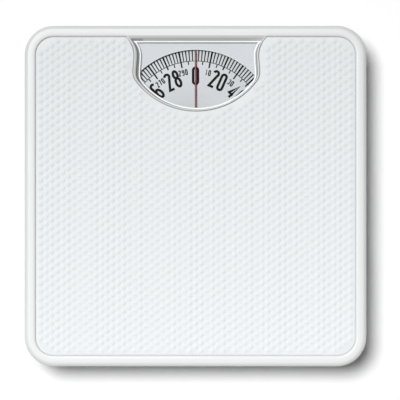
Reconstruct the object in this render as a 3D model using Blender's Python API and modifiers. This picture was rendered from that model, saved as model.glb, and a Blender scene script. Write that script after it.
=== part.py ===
"""A mechanical dial platform scale: a square platform on four levers, a main spring and a turning dial.

The platform presses on two long and two short levers. The long levers' noses push the calibration plate
down against the main spring, the plate turns a bell crank, and the crank's rack turns the dial's pinion.
The frame stands on Z = 0 under the platform's centre, with the dial window towards +Y.
Every size here is in millimetres; the mesh builders turn them into Blender's metres.
"""

import math

import bmesh
import bpy

MM = 0.001
GAP = 0.3  # between neighbouring pieces

# Overall size
WIDTH = 268.0
DEPTH = 267.0
HEIGHT = 48.0

# Platform cover and mat
COVER_CORNER = 23.5
COVER_WALL = 2.5
COVER_EDGE_ROUND = 3.2
SKIRT_BOTTOM = 19.0
RIM_WIDTH = 9.0
MAT_CORNER = 14.0
RECESS_FLOOR = 46.3
MAT_TOP = 47.7
SHEET_BOTTOM = RECESS_FLOOR - COVER_WALL

# Dial window: the well's upper and lower outlines
WELL_TOP = dict(waist=48.3, ring=54.0, ring_y=121.1, rear=124.8, tip=54.3)
WELL_BOTTOM = dict(waist=45.2, ring=49.7, ring_y=118.1, rear=121.0, tip=49.0)
WELL_LIP = 1.0
LENS_TOP = SHEET_BOTTOM - GAP
LENS_THICK = 2.0
LENS_FLANGE = 3.0
MASK_THICK = 0.5
MASK_ARC = 63.6
MASK_HALF_WIDTH = 50.0
INDEX_WIDTH = 1.2

# Stiffener plate and its screws
PLATE_TOP = SHEET_BOTTOM - GAP
PLATE_THICK = 1.2
PLATE_INSET = 12.0
PLATE_CUTOUT_HALF = 57.0
PLATE_CUTOUT_Y = 60.0
BOSS_RADIUS = 4.0
SCREW_POINTS = {
    "front_left": (-70, -105),
    "front_right": (70, -105),
    "rear_left": (-75, 100),
    "rear_right": (75, 100),
}

# Base tray and feet
TRAY_WIDTH = 248.0
TRAY_DEPTH = 247.0
TRAY_CORNER = 14.0
TRAY_SHEET = 1.0
TRAY_BOTTOM = 4.5
TRAY_TOP = 25.0
FLOOR = TRAY_BOTTOM + TRAY_SHEET
FOOT_RADIUS = 10.5
FOOT_X, FOOT_Y = 111.0, 110.5

# Levers: fulcrum points, load arm, nose point and pin height
FULCRUM_X = 100.0
FRONT_FULCRUM_Y = -98.0
REAR_FULCRUM_Y = 82.0
NOSE_X, NOSE_Y = 9.0, 84.0
LOAD_ARM = 32.0
PIN_Z = 19.0
PIN_RADIUS = 1.5
PIN_HALF = 9.0
LEVER_HALF = 4.5
LEVER_SHEET = 1.2
LEVER_BOTTOM = 15.8
LONG_TOP = 22.8
SHORT_TOP = 25.6
LEVER_TAIL = 6.0
EAR_INNER = 6.0
EAR_SHEET = 1.5
NOTCH_DEPTH = 3.6

# Dial, pinion and rack
DIAL_Y = 50.9
DIAL_RADIUS = 66.0
DIAL_BOTTOM = 37.0
DIAL_THICK = 0.6
PINION_PITCH = 2.25
PINION_TEETH = 10
TOOTH_SHARE = 0.36  # a tooth's width at the pitch line, as a share of the pitch
TOOTH_OUT = 0.33
TOOTH_IN = 0.5
RACK_Z0, RACK_Z1 = 25.0, 28.4
SHAFT_RADIUS = 0.9

# Calibration plate, main spring and zero adjustment
CAL_BOTTOM, CAL_TOP = 14.0, 15.5
SPRING_Y = 96.0
SPRING_RADIUS = 8.5
SPRING_WIRE = 2.2
SPRING_Z0, SPRING_Z1 = 19.2, 31.2
SPRING_TURNS = 2.6
YOKE_Z0, YOKE_Z1 = 16.9, 18.9
SCREW_Y = 115.5
SCREW_RADIUS = 1.8
WHEEL_RADIUS = 13.0
WHEEL_Z0, WHEEL_Z1 = 8.0, 12.5

# Bell crank
CRANK_Y, CRANK_Z = 76.0, 9.9
CRANK_SWING = 0.83  # radians from empty to full load
CRANK_REAR_ARM = 7.317
CRANK_UP_ARM = 17.53

PART_NAME = "dial_platform_scale"


# ---------------------------------------------------------------- scene and materials


def clear_scene():
    for obj in list(bpy.data.objects):
        bpy.data.objects.remove(obj, do_unlink=True)


def new_collection(name):
    collection = bpy.data.collections.new(name)
    bpy.context.scene.collection.children.link(collection)
    return collection


def make_material(name, colour, roughness, metallic=0.0, transmission=0.0):
    material = bpy.data.materials.new(name)
    material.use_nodes = True
    shader = material.node_tree.nodes["Principled BSDF"]
    shader.inputs["Base Color"].default_value = (*colour, 1.0)
    shader.inputs["Roughness"].default_value = roughness
    shader.inputs["Metallic"].default_value = metallic
    shader.inputs["Transmission Weight"].default_value = transmission
    return material


FINISHES = {
    "white_plastic": ((0.80, 0.83, 0.83), 0.42),
    "white_mat": ((0.78, 0.82, 0.84), 0.6),
    "clear_plastic": ((0.95, 0.97, 0.97), 0.05, 0.0, 1.0),
    "pale_print": ((0.66, 0.69, 0.72), 0.5),
    "red_print": ((0.35, 0.05, 0.06), 0.5),
    "dial_print": ((0.62, 0.65, 0.67), 0.45),
    "grey_steel": ((0.45, 0.46, 0.47), 0.4, 1.0),
    "bright_steel": ((0.60, 0.60, 0.60), 0.28, 1.0),
    "spring_steel": ((0.40, 0.40, 0.42), 0.3, 1.0),
    "painted_steel": ((0.72, 0.74, 0.75), 0.5),
    "brass": ((0.70, 0.52, 0.25), 0.35, 1.0),
    "black_rubber": ((0.03, 0.03, 0.03), 0.8),
    "grey_plastic": ((0.25, 0.26, 0.27), 0.5),
}


# ---------------------------------------------------------------- outlines


def circle(radius, x=0.0, y=0.0, steps=16):
    turns = [2 * math.pi * i / steps for i in range(steps)]
    return [(x + radius * math.cos(a), y + radius * math.sin(a)) for a in turns]


def arc(x, y, radius, start, end, steps):
    """Points on an arc, from one angle to another, in degrees."""
    angles = [math.radians(start + (end - start) * i / steps) for i in range(steps + 1)]
    return [(x + radius * math.cos(a), y + radius * math.sin(a)) for a in angles]


def rectangle(x0, y0, x1, y1):
    return [(x0, y0), (x1, y0), (x1, y1), (x0, y1)]


def round_rectangle(width, depth, corner, steps=6):
    points = []
    for quarter, (sx, sy) in enumerate(((1, 1), (-1, 1), (-1, -1), (1, -1))):
        x, y = sx * (width / 2 - corner), sy * (depth / 2 - corner)
        points += arc(x, y, corner, 90 * quarter, 90 * quarter + 90, steps)
    return points


def mirrored(right_side):
    """A closed outline from its right side, listed from rear to front."""
    left_side = [(-x, y) for x, y in reversed(right_side) if x > 1e-6]
    return right_side + left_side


def both_sides(left_side):
    """A closed outline from the side of it with +Y, the X axis being its centre line."""
    return left_side + [(x, -y) for x, y in reversed(left_side)]


def well_outline(waist, ring, ring_y, rear, tip, grow=0.0, beyond=0.0):
    """The window's pot shape: a flare at the rear, a waist, and a round belly at the front.

    It can be grown all round, and its rear edge moved out beyond the flare's tips.
    """
    shoulder_y = ring_y - 22.0
    shoulder_x = math.sqrt(ring**2 - (ring_y - shoulder_y) ** 2)
    neck_y = 110.0
    rise, out = rear - neck_y, tip - waist
    flare = (rise**2 + out**2) / (2 * out)
    end = math.degrees(math.asin(rise / flare))
    side = arc(waist + flare, neck_y, flare - grow, 180 - end, 180, 5)
    for share, run in ((0.25, 0.45), (0.62, 0.7)):
        side.append((waist + grow + (shoulder_x - waist) * share, neck_y + (shoulder_y - neck_y) * run))
    start = -math.degrees(math.acos(shoulder_x / ring))
    side += arc(0.0, ring_y, ring + grow, start, -90, 12)
    if rear + beyond > side[0][1] + 0.01:
        side.insert(0, (side[0][0], rear + beyond))
    return mirrored(side)


def gear_outline(teeth, pitch_radius):
    """Straight-flanked teeth, the first one on +X."""
    pitch_angle = 2 * math.pi / teeth
    half = TOOTH_SHARE * pitch_angle / 2
    root, tip = half * 1.55, half * 0.55
    stations = ((-root, -TOOTH_IN), (-tip, TOOTH_OUT), (tip, TOOTH_OUT), (root, -TOOTH_IN))
    points = []
    for tooth in range(teeth):
        for angle, out in stations:
            a, r = tooth * pitch_angle + angle, pitch_radius + out
            points.append((r * math.cos(a), r * math.sin(a)))
    return points


def knurl_outline(radius, depth, grips):
    points = []
    for grip in range(grips):
        for share, out in ((0.0, 0.0), (0.5, 0.0), (0.62, -depth), (0.88, -depth)):
            a = 2 * math.pi * (grip + share) / grips
            points.append(((radius + out) * math.cos(a), (radius + out) * math.sin(a)))
    return points


# ---------------------------------------------------------------- mesh builders


def curve_to_mesh(curve, lift=0.0):
    """A curve's evaluated shape as a mesh of its own, its caps welded."""
    guide = bpy.data.objects.new("guide", curve)
    PARTS.objects.link(guide)
    depsgraph = bpy.context.evaluated_depsgraph_get()
    mesh = bpy.data.meshes.new_from_object(guide.evaluated_get(depsgraph))
    bpy.data.objects.remove(guide, do_unlink=True)
    bpy.data.curves.remove(curve)
    work = bmesh.new()
    work.from_mesh(mesh)
    bmesh.ops.remove_doubles(work, verts=work.verts, dist=1e-6)
    bmesh.ops.translate(work, verts=work.verts, vec=(0, 0, lift * MM))
    bmesh.ops.recalc_face_normals(work, faces=work.faces)
    work.to_mesh(mesh)
    work.free()
    return mesh


def flat_mesh(outline, z0, z1, holes=()):
    """A plate of this outline between two heights, with holes."""
    curve = bpy.data.curves.new("outline", "CURVE")
    curve.dimensions = "2D"
    curve.fill_mode = "BOTH"
    curve.extrude = (z1 - z0) / 2 * MM
    for loop in (outline, *holes):
        spline = curve.splines.new("POLY")
        spline.points.add(len(loop) - 1)
        for point, (x, y) in zip(spline.points, loop):
            point.co = (x * MM, y * MM, 0, 1)
        spline.use_cyclic_u = True
    return curve_to_mesh(curve, (z0 + z1) / 2)


def box_mesh(x0, y0, z0, x1, y1, z1):
    mesh = bpy.data.meshes.new("box")
    work = bmesh.new()
    bmesh.ops.create_cube(work, size=MM)
    bmesh.ops.scale(work, verts=work.verts, vec=(x1 - x0, y1 - y0, z1 - z0))
    middle = [(a + b) / 2 * MM for a, b in ((x0, x1), (y0, y1), (z0, z1))]
    bmesh.ops.translate(work, verts=work.verts, vec=middle)
    work.to_mesh(mesh)
    work.free()
    return mesh


def rod_mesh(radius, z0, z1, steps=12, x=0.0, y=0.0):
    mesh = bpy.data.meshes.new("rod")
    work = bmesh.new()
    bmesh.ops.create_cone(
        work, cap_ends=True, segments=steps, radius1=radius * MM, radius2=radius * MM, depth=(z1 - z0) * MM
    )
    bmesh.ops.translate(work, verts=work.verts, vec=(x * MM, y * MM, (z0 + z1) / 2 * MM))
    work.to_mesh(mesh)
    work.free()
    return mesh


def loft_mesh(lower, upper):
    """A solid between two outlines of as many points, each point (x, y, z)."""
    mesh = bpy.data.meshes.new("loft")
    work = bmesh.new()
    rings = [[work.verts.new([c * MM for c in point]) for point in ring] for ring in (lower, upper)]
    for i, j in zip(range(len(lower)), [*range(1, len(lower)), 0]):
        work.faces.new((rings[0][i], rings[0][j], rings[1][j], rings[1][i]))
    work.faces.new(rings[0])
    work.faces.new(rings[1])
    bmesh.ops.recalc_face_normals(work, faces=work.faces)
    work.to_mesh(mesh)
    work.free()
    return mesh


def coil_mesh(radius, wire, height, turns, steps, lead=()):
    """A coil around Z from height 0, with an optional straight lead before it."""
    curve = bpy.data.curves.new("coil", "CURVE")
    curve.dimensions = "3D"
    curve.bevel_depth = wire / 2 * MM
    curve.bevel_resolution = 2
    curve.use_fill_caps = True
    count = round(turns * steps)
    points = list(lead)
    for i in range(count + 1):
        a = 2 * math.pi * i / steps
        points.append((radius * math.cos(a), radius * math.sin(a), height * i / count))
    spline = curve.splines.new("POLY")
    spline.points.add(len(points) - 1)
    for point, (x, y, z) in zip(spline.points, points):
        point.co = (x * MM, y * MM, z * MM, 1)
    return curve_to_mesh(curve)


# ---------------------------------------------------------------- objects


def add_body(name, origin):
    """A moving body: an empty on its joint's axis."""
    empty = bpy.data.objects.new(f"{name}_axis", None)
    empty.location = [c * MM for c in origin]
    PARTS.objects.link(empty)
    BODIES[name] = (empty, origin)


def add_piece(name, mesh, finish, body=None, origin=(0, 0, 0), turn=0.0, lie=False):
    """One sub-part, its mesh in a frame that lies at origin; lie turns the mesh's XY into the YZ plane."""
    obj = bpy.data.objects.new(name, mesh)
    mesh.materials.clear()
    mesh.materials.append(MATERIALS[finish])
    start = (0, 0, 0)
    if body:
        obj.parent, start = BODIES[body]
    obj.location = [(a - b) * MM for a, b in zip(origin, start)]
    obj.rotation_euler = (math.pi / 2, 0, math.pi / 2) if lie else (0, 0, turn)
    PARTS.objects.link(obj)
    return obj


def combine(target, mesh, operation, location=(0, 0, 0), rotation=(0, 0, 0)):
    """Join a mesh to the target, or cut it away. The mesh lies in the target's frame."""
    tool = bpy.data.objects.new(f"{target.name}_{operation.lower()}", mesh)
    tool.parent = target
    tool.location = [c * MM for c in location]
    tool.rotation_euler = rotation
    tool.hide_render = True
    tool.display_type = "WIRE"
    CUTTERS.objects.link(tool)
    modifier = target.modifiers.new(operation.lower(), "BOOLEAN")
    modifier.object = tool
    modifier.operation = operation
    return tool


def cut(target, mesh, **place):
    return combine(target, mesh, "DIFFERENCE", **place)


def join(target, mesh, **place):
    return combine(target, mesh, "UNION", **place)


def turned_piece(name, profile, finish, steps=24, **place):
    """A piece turned around Z. Its profile runs down its outer side, and closes if it has a bore."""
    mesh = bpy.data.meshes.new(name)
    work = bmesh.new()
    verts = [work.verts.new((r * MM, 0, z * MM)) for r, z in profile]
    for a, b in zip(verts, verts[1:]):
        work.edges.new((a, b))
    if profile[0][0] > 0:
        work.edges.new((verts[-1], verts[0]))
    work.to_mesh(mesh)
    work.free()
    obj = add_piece(name, mesh, finish, **place)
    screw = obj.modifiers.new("turn", "SCREW")
    screw.steps = screw.render_steps = steps
    screw.use_merge_vertices = True
    screw.merge_threshold = 0.00001
    return obj


def round_edges(obj, width, segments=2, angle=50):
    bevel = obj.modifiers.new("round", "BEVEL")
    bevel.width = width * MM
    bevel.segments = segments
    bevel.limit_method = "ANGLE"
    bevel.angle_limit = math.radians(angle)
    return bevel


ACROSS = (math.pi / 2, 0, 0)  # a rod along Z laid along Y
ALONG_X = (0, math.pi / 2, 0)  # a rod along Z laid along X


# ---------------------------------------------------------------- platform


def make_cover():
    cover = add_piece(
        "platform_cover",
        flat_mesh(round_rectangle(WIDTH, DEPTH, COVER_CORNER, 8), SKIRT_BOTTOM, HEIGHT),
        "white_plastic",
        body="platform",
    )
    round_edges(cover, COVER_EDGE_ROUND, 3)
    inside = round_rectangle(WIDTH - 2 * COVER_WALL, DEPTH - 2 * COVER_WALL, COVER_CORNER - COVER_WALL)
    cut(cover, flat_mesh(inside, SKIRT_BOTTOM - 5, SHEET_BOTTOM))
    recess = round_rectangle(WIDTH - 2 * RIM_WIDTH, DEPTH - 2 * RIM_WIDTH, MAT_CORNER)
    lip = well_outline(**WELL_TOP, grow=WELL_LIP, beyond=WELL_LIP)
    cut(cover, flat_mesh(recess, RECESS_FLOOR, HEIGHT + 2))
    join(cover, flat_mesh(lip, RECESS_FLOOR - 0.5, MAT_TOP))
    lower = [(x, y, SHEET_BOTTOM - 0.4) for x, y in well_outline(**WELL_BOTTOM)]
    upper = [(x, y, MAT_TOP + 0.4) for x, y in well_outline(**WELL_TOP)]
    cut(cover, loft_mesh(lower, upper))
    for x, y in SCREW_POINTS.values():
        join(cover, rod_mesh(BOSS_RADIUS, PLATE_TOP - PLATE_THICK - 0.2, SHEET_BOTTOM + 0.5, 16, x, y))
        cut(cover, rod_mesh(PIN_RADIUS, PLATE_TOP - 5, RECESS_FLOOR - 0.6, 10, x, y))


def make_mat():
    width, depth = WIDTH - 2 * RIM_WIDTH - 2 * GAP, DEPTH - 2 * RIM_WIDTH - 2 * GAP
    mat = add_piece(
        "platform_mat",
        flat_mesh(round_rectangle(width, depth, MAT_CORNER - GAP), RECESS_FLOOR + GAP, MAT_TOP),
        "white_mat",
        body="platform",
    )
    window = well_outline(**WELL_TOP, grow=WELL_LIP + GAP, beyond=5.0)
    cut(mat, flat_mesh(window, RECESS_FLOOR - 1, MAT_TOP + 1))


def make_window():
    outline = well_outline(**WELL_BOTTOM, grow=LENS_FLANGE, beyond=LENS_FLANGE)
    lens = flat_mesh(outline, LENS_TOP - LENS_THICK, LENS_TOP)
    add_piece("dial_lens", lens, "clear_plastic", body="platform")
    mask_top = LENS_TOP - LENS_THICK - GAP
    edge = math.degrees(math.acos(MASK_HALF_WIDTH / MASK_ARC))
    rear = WELL_BOTTOM["rear"] + LENS_FLANGE - GAP
    mask = arc(0, DIAL_Y, MASK_ARC, 180 - edge, edge, 24)
    mask += [(MASK_HALF_WIDTH, rear), (-MASK_HALF_WIDTH, rear)]
    sheet = flat_mesh(mask, mask_top - MASK_THICK, mask_top)
    add_piece("window_mask", sheet, "pale_print", body="platform")
    front = WELL_BOTTOM["ring_y"] - WELL_BOTTOM["ring"] - GAP
    rear, half = DIAL_Y + MASK_ARC - GAP, INDEX_WIDTH / 2
    index = box_mesh(-half, front, mask_top - GAP, half, rear, mask_top)
    add_piece("index_line", index, "red_print", body="platform")


def make_platform_plate():
    outline = round_rectangle(WIDTH - 2 * PLATE_INSET, DEPTH - 2 * PLATE_INSET, MAT_CORNER - 2)
    sheet = flat_mesh(outline, PLATE_TOP - PLATE_THICK, PLATE_TOP)
    plate = add_piece("platform_plate", sheet, "painted_steel", body="platform")
    half = PLATE_CUTOUT_HALF
    cut(plate, box_mesh(-half, PLATE_CUTOUT_Y, PLATE_TOP - 5, half, DEPTH / 2, PLATE_TOP + 2))
    for x, y in SCREW_POINTS.values():
        cut(plate, rod_mesh(BOSS_RADIUS + GAP, PLATE_TOP - 5, PLATE_TOP + 2, 16, x, y))
    head, tip = PLATE_TOP - PLATE_THICK - 0.2 - GAP, RECESS_FLOOR - 1
    profile = [(0, tip), (1.2, tip), (1.2, head), (5.5, head), (5.5, head - 0.8)]
    profile += [(4.2, head - 1.7), (0, head - 1.9)]
    for corner, (x, y) in SCREW_POINTS.items():
        place = dict(body="platform", origin=(x, y, 0))
        turned_piece(f"platform_screw_{corner}", profile, "bright_steel", 16, **place)


# ---------------------------------------------------------------- levers


def lever_axes():
    """Each lever's name, its fulcrum and its direction in plan."""
    run = math.hypot(FULCRUM_X - NOSE_X, NOSE_Y - FRONT_FULCRUM_Y)
    ux, uy = (FULCRUM_X - NOSE_X) / run, (NOSE_Y - FRONT_FULCRUM_Y) / run
    axes = {}
    for side, sign in (("left", -1), ("right", 1)):
        axes[f"long_lever_{side}"] = ((sign * FULCRUM_X, FRONT_FULCRUM_Y), (-sign * ux, uy))
        axes[f"short_lever_{side}"] = ((sign * FULCRUM_X, REAR_FULCRUM_Y), (-sign * ux, -uy))
    return axes, run, (REAR_FULCRUM_Y - FRONT_FULCRUM_Y) / (2 * uy)


def notched_ears(half_length, z0, z1, up):
    """An upright sheet across the lever, with a V notch for the pin, as an outline in X and Z."""
    tan_half = math.tan(math.radians(30))
    apex = PIN_Z - NOTCH_DEPTH if up else PIN_Z + NOTCH_DEPTH
    mouth = z1 if up else z0
    half = abs(mouth - apex) * tan_half
    notch = [(half, mouth), (0, apex), (-half, mouth)]
    if up:
        return [(-half_length, z0), (half_length, z0), (half_length, z1)] + notch + [(-half_length, z1)]
    return [(half_length, z1), (-half_length, z1), (-half_length, z0)] + notch[::-1] + [(half_length, z0)]


def add_ears(target, outline):
    for side in (-1, 1):
        middle = side * (EAR_INNER + EAR_SHEET / 2)
        ear = flat_mesh(outline, -EAR_SHEET / 2, EAR_SHEET / 2)
        join(target, ear, location=(0, middle, 0), rotation=ACROSS)


def make_lever(name, start, direction, length, reach):
    turn = math.atan2(direction[1], direction[0])
    long = name.startswith("long")
    top = LONG_TOP if long else SHORT_TOP
    end = length + 1.5 if long else reach - 12.5
    taper = end - (60.0 if long else 20.0)
    nose = 3.2 if long else 4.2
    tongue = [] if long else [(end, 3.0), (reach + 3.5, 3.0)]
    inner, inner_nose = LEVER_HALF - LEVER_SHEET, nose - LEVER_SHEET
    clear = [(end + 2, inner_nose)] if long else [(end - 1, inner_nose), (end - 1, 10.0), (reach + 6, 10.0)]
    outer = both_sides([(-LEVER_TAIL, LEVER_HALF), (taper, LEVER_HALF), (end, nose)] + tongue)
    hollow = both_sides([(-LEVER_TAIL - 2, inner), (taper, inner)] + clear)
    place = dict(body=name, origin=(*start, 0), turn=turn)
    lever = add_piece(name, flat_mesh(outer, LEVER_BOTTOM, top), "grey_steel", **place)
    cut(lever, flat_mesh(hollow, LEVER_BOTTOM - 2, top - LEVER_SHEET))
    for s in (0.0, LOAD_ARM):
        cut(lever, rod_mesh(PIN_RADIUS + GAP, -8, 8, 12), location=(s, 0, PIN_Z), rotation=ACROSS)
        label = name.replace("_lever", "")
        kind = "load_pin" if s else "fulcrum_pin"
        pin = rod_mesh(PIN_RADIUS, -PIN_HALF, PIN_HALF, 12)
        middle = (start[0] + direction[0] * s, start[1] + direction[1] * s, PIN_Z)
        bar = add_piece(f"{kind}_{label}", pin, "bright_steel", body=name, origin=middle)
        bar.rotation_euler = (math.pi / 2, 0, turn)
    if long:
        cut(lever, rod_mesh(1.4, top - 4, top + 2, 12, reach))
        head = [(0, top + 1.3), (1.4, top + 1.2), (2.6, top + GAP), (1.1, top + GAP)]
        head += [(1.1, top - 2.2), (0, top - 2.2)]
        place = dict(body=name, origin=(start[0] + direction[0] * reach, start[1] + direction[1] * reach, 0))
        turned_piece(name.replace("long_lever", "lever_stud"), head, "bright_steel", 16, **place)


def make_fulcrum(name, start, direction):
    place = dict(origin=(*start, 0), turn=math.atan2(direction[1], direction[0]))
    bottom = FLOOR + GAP
    half_width = EAR_INNER + EAR_SHEET
    outline = rectangle(-7, -half_width, 7, half_width)
    base = flat_mesh(outline, bottom, bottom + EAR_SHEET, [circle(1.9, steps=12)])
    bracket = add_piece(name, base, "grey_steel", **place)
    add_ears(bracket, notched_ears(5.0, bottom + 0.2, PIN_Z + 2.5, True))
    rivet_top = bottom + EAR_SHEET + GAP
    below = TRAY_BOTTOM - GAP
    profile = [(0, rivet_top + 1.1), (1.8, rivet_top + 0.9), (3.0, rivet_top), (1.6, rivet_top)]
    profile += [(1.6, below), (3.0, below), (1.8, below - 0.9), (0, below - 1.1)]
    rivet = name.replace("fulcrum_bracket", "bracket_rivet")
    turned_piece(rivet, profile, "bright_steel", 12, origin=(*start, 0))


def make_stirrup(name, start, direction):
    x, y = (start[i] + direction[i] * LOAD_ARM for i in (0, 1))
    top = PLATE_TOP - PLATE_THICK - GAP
    half_width = EAR_INNER + EAR_SHEET
    stirrup = add_piece(
        name,
        box_mesh(-6, -half_width, top - EAR_SHEET, 6, half_width, top),
        "grey_steel",
        body="platform",
        origin=(x, y, 0),
        turn=math.atan2(direction[1], direction[0]),
    )
    add_ears(stirrup, notched_ears(5.0, PIN_Z - 2.5, top - 0.2, False))


def make_levers():
    axes, length, reach = lever_axes()
    for name, (start, direction) in axes.items():
        make_lever(name, start, direction, length, reach)
        label = name.replace("_lever", "")
        make_fulcrum(f"fulcrum_bracket_{label}", start, direction)
        make_stirrup(f"stirrup_{label}", start, direction)


# ---------------------------------------------------------------- base


def make_tray():
    outline = round_rectangle(TRAY_WIDTH, TRAY_DEPTH, TRAY_CORNER)
    tray = add_piece("base_tray", flat_mesh(outline, TRAY_BOTTOM, TRAY_TOP), "painted_steel")
    both = 2 * TRAY_SHEET
    inner = round_rectangle(TRAY_WIDTH - both, TRAY_DEPTH - both, TRAY_CORNER - TRAY_SHEET)
    cut(tray, flat_mesh(inner, FLOOR, TRAY_TOP + 2))
    slot_half = WHEEL_RADIUS - 0.5
    rear = TRAY_DEPTH / 2
    cut(tray, box_mesh(-slot_half, rear - 4, WHEEL_Z0 - 1.2, slot_half, rear + 4, WHEEL_Z1 + 1.2))
    drills = [(x, y, 2.9) for x in (-FOOT_X, FOOT_X) for y in (-FOOT_Y, FOOT_Y)]
    drills += [(*start, 1.9) for start, _ in lever_axes()[0].values()]
    drills += [(x, DIAL_Y, 1.9) for x in (-16.0, 16.0)]
    for x, y, radius in drills:
        cut(tray, rod_mesh(radius, TRAY_BOTTOM - 2, FLOOR + 2, 12, x, y))


def make_feet():
    top = TRAY_BOTTOM - GAP
    profile = [(0, FLOOR + 3.2), (1.6, FLOOR + 3.2), (3.8, FLOOR + GAP), (2.5, FLOOR + GAP), (2.5, top)]
    profile += [(FOOT_RADIUS, top), (FOOT_RADIUS, 0.8), (FOOT_RADIUS - 0.8, 0), (0, 0)]
    for front, y in (("front", -FOOT_Y), ("rear", FOOT_Y)):
        for side, x in (("left", -FOOT_X), ("right", FOOT_X)):
            turned_piece(f"foot_{front}_{side}", profile, "black_rubber", 18, origin=(x, y, 0))


def make_dial_bracket():
    top0, top1 = 31.5, 33.0
    half, sheet, flange = 13.2, 1.2, 18.5
    y0, y1 = DIAL_Y - 11, DIAL_Y + 11
    bracket = add_piece("dial_bracket", box_mesh(-half, y0, top0, half, y1, top1), "grey_steel")
    foot_bottom = FLOOR + GAP
    for side in (-1, 1):
        x0, x1 = sorted((side * (half - sheet), side * half))
        join(bracket, box_mesh(x0, y0 + 3, foot_bottom, x1, y1 - 3, top0 + 0.5))
        x0, x1 = sorted((side * (half - sheet), side * flange))
        join(bracket, box_mesh(x0, y0 + 5, foot_bottom, x1, y1 - 5, foot_bottom + sheet))
        cut(bracket, rod_mesh(1.9, FLOOR - 2, FLOOR + 5, 12, side * 16.0, DIAL_Y))
    join(bracket, box_mesh(4.8, DIAL_Y - 6, RACK_Z0 - 1.5, 6.0, DIAL_Y + 6, top0 + 0.5))
    cut(bracket, rod_mesh(SHAFT_RADIUS + GAP, top0 - 2, top1 + 2, 12, 0, DIAL_Y))
    head = foot_bottom + sheet + GAP
    tip = TRAY_BOTTOM - 1.5
    profile = [(0, head + 1.6), (1.6, head + 1.5), (2.4, head), (1.6, head), (1.6, tip), (0, tip)]
    for side, x in (("left", -16.0), ("right", 16.0)):
        turned_piece(f"dial_bracket_screw_{side}", profile, "bright_steel", 12, origin=(x, DIAL_Y, 0))


def make_spring_bridge():
    half, sheet = 16.5, 1.2
    y0, y1 = 108.0, 121.0
    top0, top1 = 34.0, 35.2
    bottom = FLOOR + GAP
    bridge = add_piece("spring_bridge", box_mesh(-half, y0, top0, half, y1, top1), "grey_steel")
    for side in (-1, 1):
        x0, x1 = sorted((side * (half - sheet), side * half))
        join(bridge, box_mesh(x0, y0, bottom, x1, y1, top0 + 0.5))
        x0, x1 = sorted((side * (half - sheet), side * (half + 6)))
        join(bridge, box_mesh(x0, y0 + 1, bottom, x1, y1 - 1, bottom + sheet))
    cut(bridge, rod_mesh(SCREW_RADIUS + GAP, top0 - 2, top1 + 2, 12, 0, SCREW_Y))


def make_crank_bracket():
    bottom, sheet, half = FLOOR + GAP, 1.2, 5.0
    base = box_mesh(-half, 71.0, bottom, half, 79.5, bottom + sheet)
    bracket = add_piece("crank_bracket", base, "grey_steel")
    for side in (-1, 1):
        x0, x1 = sorted((side * (half - sheet), side * half))
        join(bracket, box_mesh(x0, 72.5, bottom + 0.2, x1, 79.3, CRANK_Z + 3.3))
    cut(bracket, rod_mesh(1.0 + GAP, -8, 8, 12), location=(0, CRANK_Y, CRANK_Z), rotation=ALONG_X)
    pin = add_piece("crank_pin", rod_mesh(1.0, -5.8, 5.8, 12), "bright_steel", origin=(0, CRANK_Y, CRANK_Z))
    pin.rotation_euler = ALONG_X


# ---------------------------------------------------------------- rear mechanism


def make_calibration():
    plate = flat_mesh(
        rectangle(-16, 82.2, 16, 101.5), CAL_BOTTOM, CAL_TOP, [circle(2.6, 0, SPRING_Y, 16)]
    )
    add_piece("calibration_plate", plate, "bright_steel", body="calibration")
    cap = SPRING_Z1 + 0.4
    nut = CAL_BOTTOM - GAP
    profile = [(0, cap + 2.6), (3.0, cap + 2.4), (4.0, cap + 1.4), (9.9, cap + 1.2), (9.9, cap), (2.2, cap)]
    profile += [(2.2, nut), (3.6, nut), (3.0, nut - 1.1), (0, nut - 1.3)]
    turned_piece("draw_bolt", profile, "bright_steel", 18, body="calibration", origin=(0, SPRING_Y, 0))


def make_spring_and_yoke():
    height = SPRING_Z1 - SPRING_Z0 - SPRING_WIRE
    coil = coil_mesh(SPRING_RADIUS, SPRING_WIRE, height, SPRING_TURNS, 16)
    base = SPRING_Z0 + SPRING_WIRE / 2
    add_piece("main_spring", coil, "spring_steel", body="spring_yoke", origin=(0, SPRING_Y, base))
    outline = arc(0, SPRING_Y, 10.0, 210, 330, 10) + [(8.66, 104), (14.6, 108.5), (14.6, 119.5)]
    outline += [(-14.6, 119.5), (-14.6, 108.5), (-8.66, 104)]
    holes = [circle(2.6, 0, SPRING_Y, 16), circle(SCREW_RADIUS + GAP, 0, SCREW_Y, 12)]
    sheet = flat_mesh(outline, YOKE_Z0, YOKE_Z1, holes)
    add_piece("spring_yoke", sheet, "bright_steel", body="spring_yoke")


def make_zero_wheel():
    middle = (0, SCREW_Y, 0)
    top, radius = 36.1, SCREW_RADIUS
    profile = [(0, top), (radius - 0.4, top), (radius, top - 0.4), (radius, 6.5)]
    profile += [(0.6, FLOOR + 0.4), (0, FLOOR + 0.4)]
    turned_piece("adjusting_screw", profile, "brass", 16, body="zero_wheel", origin=middle)
    rim = knurl_outline(WHEEL_RADIUS, 0.7, 24)
    wheel = flat_mesh(rim, WHEEL_Z0, WHEEL_Z1, [circle(SCREW_RADIUS + GAP, steps=12)])
    add_piece("zero_wheel", wheel, "grey_plastic", body="zero_wheel", origin=middle)


def capsule(x0, y0, x1, y1, r0, r1):
    """An arm from one round end to the other."""
    heading = math.degrees(math.atan2(y1 - y0, x1 - x0))
    return arc(x0, y0, r0, heading + 90, heading + 270, 6) + arc(x1, y1, r1, heading - 90, heading + 90, 6)


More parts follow.
